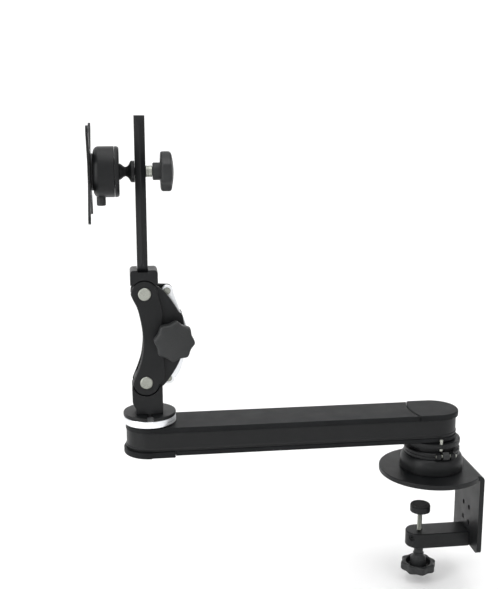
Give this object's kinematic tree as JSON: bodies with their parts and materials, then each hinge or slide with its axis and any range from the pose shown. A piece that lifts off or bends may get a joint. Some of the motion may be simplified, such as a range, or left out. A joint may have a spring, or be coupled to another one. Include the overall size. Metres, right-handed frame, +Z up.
{
  "type": "monitor_arm",
  "caption": "Desk-clamp monitor arm with a swinging cantilever, parallel-link yoke with a star knob, slotted mast, sliding ball head and X-shaped screen plate.",
  "frame": {"origin": "underside of the desk pad, where it rests on the desk top, on the axis of the base swivel", "axes": "+Z up; +X from the base axis towards the desk edge and the clamp upright; the arm reaches out along -X at rest; +Y to the far side"},
  "size_m": [0.5004, 0.1374, 0.6125],
  "materials": {
    "powder_black": "fine-textured satin powder coat",
    "moulded_black": "spark-eroded moulded surface",
    "knob_nylon": "matte glass-filled nylon",
    "polished_aluminium": "polished, faint turning marks",
    "bright_steel": "bright zinc-plated steel",
    "bearing_nylon": "natural bearing nylon",
    "pad_rubber": "soft matte rubber"
  },
  "bodies": {
    "clamp": {"clamp_bracket": "powder_black", "desk_pad": "pad_rubber", "jaw_bar": "powder_black", "jaw_bolt_near": "bright_steel", "jaw_bolt_far": "bright_steel", "jaw_nose_screw": "powder_black", "base_boss": "powder_black", "split_collar": "powder_black", "collar_screw": "bright_steel", "collar_nut": "knob_nylon", "base_pivot_shaft": "bright_steel", "base_thrust_washer": "bearing_nylon"},
    "clamp_pad_lift": {"clamp_pad": "powder_black", "clamp_pad_facing": "pad_rubber"},
    "clamp_handscrew": {"clamp_screw": "bright_steel", "clamp_knob": "knob_nylon"},
    "swing_arm": {"arm_flange": "powder_black", "arm_stop_screw": "bright_steel", "arm_core": "powder_black", "arm_top_cover": "moulded_black", "arm_top_end_cap": "moulded_black", "arm_bottom_cover": "moulded_black", "arm_bottom_end_cap": "moulded_black", "base_bushing": "bearing_nylon", "base_lock_nut": "bright_steel", "front_bushing": "bearing_nylon", "swivel_ring": "polished_aluminium"},
    "post": {"front_pivot_shaft": "bright_steel", "front_lock_nut": "bright_steel", "swivel_disc": "powder_black", "post_block": "powder_black", "lower_link_bushing": "bearing_nylon", "lower_stay_pin": "bright_steel"},
    "black_link": {"link_front": "powder_black", "link_rear": "powder_black", "lower_link_pin": "bright_steel", "upper_link_pin": "bright_steel", "yoke_nut": "bright_steel"},
    "yoke_handscrew": {"yoke_knob": "knob_nylon", "yoke_bolt": "bright_steel"},
    "stay": {"parallel_stay": "polished_aluminium"},
    "mast_head": {"head_block": "powder_black", "mast": "powder_black", "mast_screw_near": "bright_steel", "mast_screw_far": "bright_steel", "upper_link_bushing": "bearing_nylon", "upper_stay_pin": "bright_steel"},
    "mast_slider": {"ball_stud": "powder_black", "slider_spacer": "bright_steel"},
    "slider_handknob": {"slider_knob": "knob_nylon"},
    "ball_pan": {"ball_seat_inner": "bearing_nylon"},
    "ball_tilt": {"ball_seat_outer": "bearing_nylon"},
    "screen_plate": {"socket_body": "powder_black", "socket_ring": "powder_black", "ball_tension_screw": "knob_nylon", "vesa_plate": "powder_black", "vesa_screw_1": "bright_steel", "vesa_screw_2": "bright_steel", "vesa_screw_3": "bright_steel", "vesa_screw_4": "bright_steel"}
  },
  "joints": [
    {"name": "clamp_lift", "type": "slide", "parent": "clamp", "child": "clamp_pad_lift", "axis": [0, 0, 1], "range_m": [-0.025, 0.002]},
    {"name": "clamp_screw_turn", "type": "hinge", "parent": "clamp_pad_lift", "child": "clamp_handscrew", "pos_m": [-0.0124, 0, 0], "axis": [0, 0, 1], "range_deg": [-9010, 725]},
    {"name": "arm_swing", "type": "hinge", "parent": "clamp", "child": "swing_arm", "pos_m": [0, 0, 0], "axis": [0, 0, 1], "range_deg": [-90, 90]},
    {"name": "post_swivel", "type": "hinge", "parent": "swing_arm", "child": "post", "pos_m": [-0.372, 0, 0], "axis": [0, 0, 1], "range_deg": [-150, 150]},
    {"name": "link_tilt", "type": "hinge", "parent": "post", "child": "black_link", "pos_m": [-0.3755, 0, 0.1435], "axis": [0, -1, 0], "range_deg": [-10, 30]},
    {"name": "stay_tilt", "type": "hinge", "parent": "post", "child": "stay", "pos_m": [-0.3475, 0, 0.1443], "axis": [0, -1, 0], "range_deg": [-10.1, 30.1]},
    {"name": "head_level", "type": "hinge", "parent": "black_link", "child": "mast_head", "pos_m": [-0.3755, 0, 0.2554], "axis": [0, -1, 0], "range_deg": [-30.1, 10.1]},
    {"name": "yoke_knob_turn", "type": "hinge", "parent": "black_link", "child": "yoke_handscrew", "pos_m": [-0.341, 0, 0.1992], "axis": [0, -1, 0], "range_deg": [0, 540]},
    {"name": "head_slide", "type": "slide", "parent": "mast_head", "child": "mast_slider", "axis": [0, 0, 1], "range_m": [-0.08, 0.04]},
    {"name": "slider_knob_turn", "type": "hinge", "parent": "mast_slider", "child": "slider_handknob", "pos_m": [-0.411, 0, 0.4028], "axis": [1, 0, 0], "range_deg": [0, 540]},
    {"name": "ball_pan_turn", "type": "hinge", "parent": "mast_slider", "child": "ball_pan", "pos_m": [-0.411, 0, 0.4028], "axis": [0, 0, 1], "range_deg": [-15, 15]},
    {"name": "ball_tilt_turn", "type": "hinge", "parent": "ball_pan", "child": "ball_tilt", "pos_m": [-0.411, 0, 0.4028], "axis": [0, 1, 0], "range_deg": [-15, 15]},
    {"name": "screen_roll", "type": "hinge", "parent": "ball_tilt", "child": "screen_plate", "pos_m": [-0.411, 0, 0.4028], "axis": [1, 0, 0], "range_deg": [-90, 90]}
  ],
  "couplings": [
    {"joint": "clamp_screw_turn", "follows": "clamp_lift", "rad_per_m": 6283.2},
    {"joint": "stay_tilt", "follows": "link_tilt", "ratio": 1},
    {"joint": "head_level", "follows": "link_tilt", "ratio": -1}
  ]
}
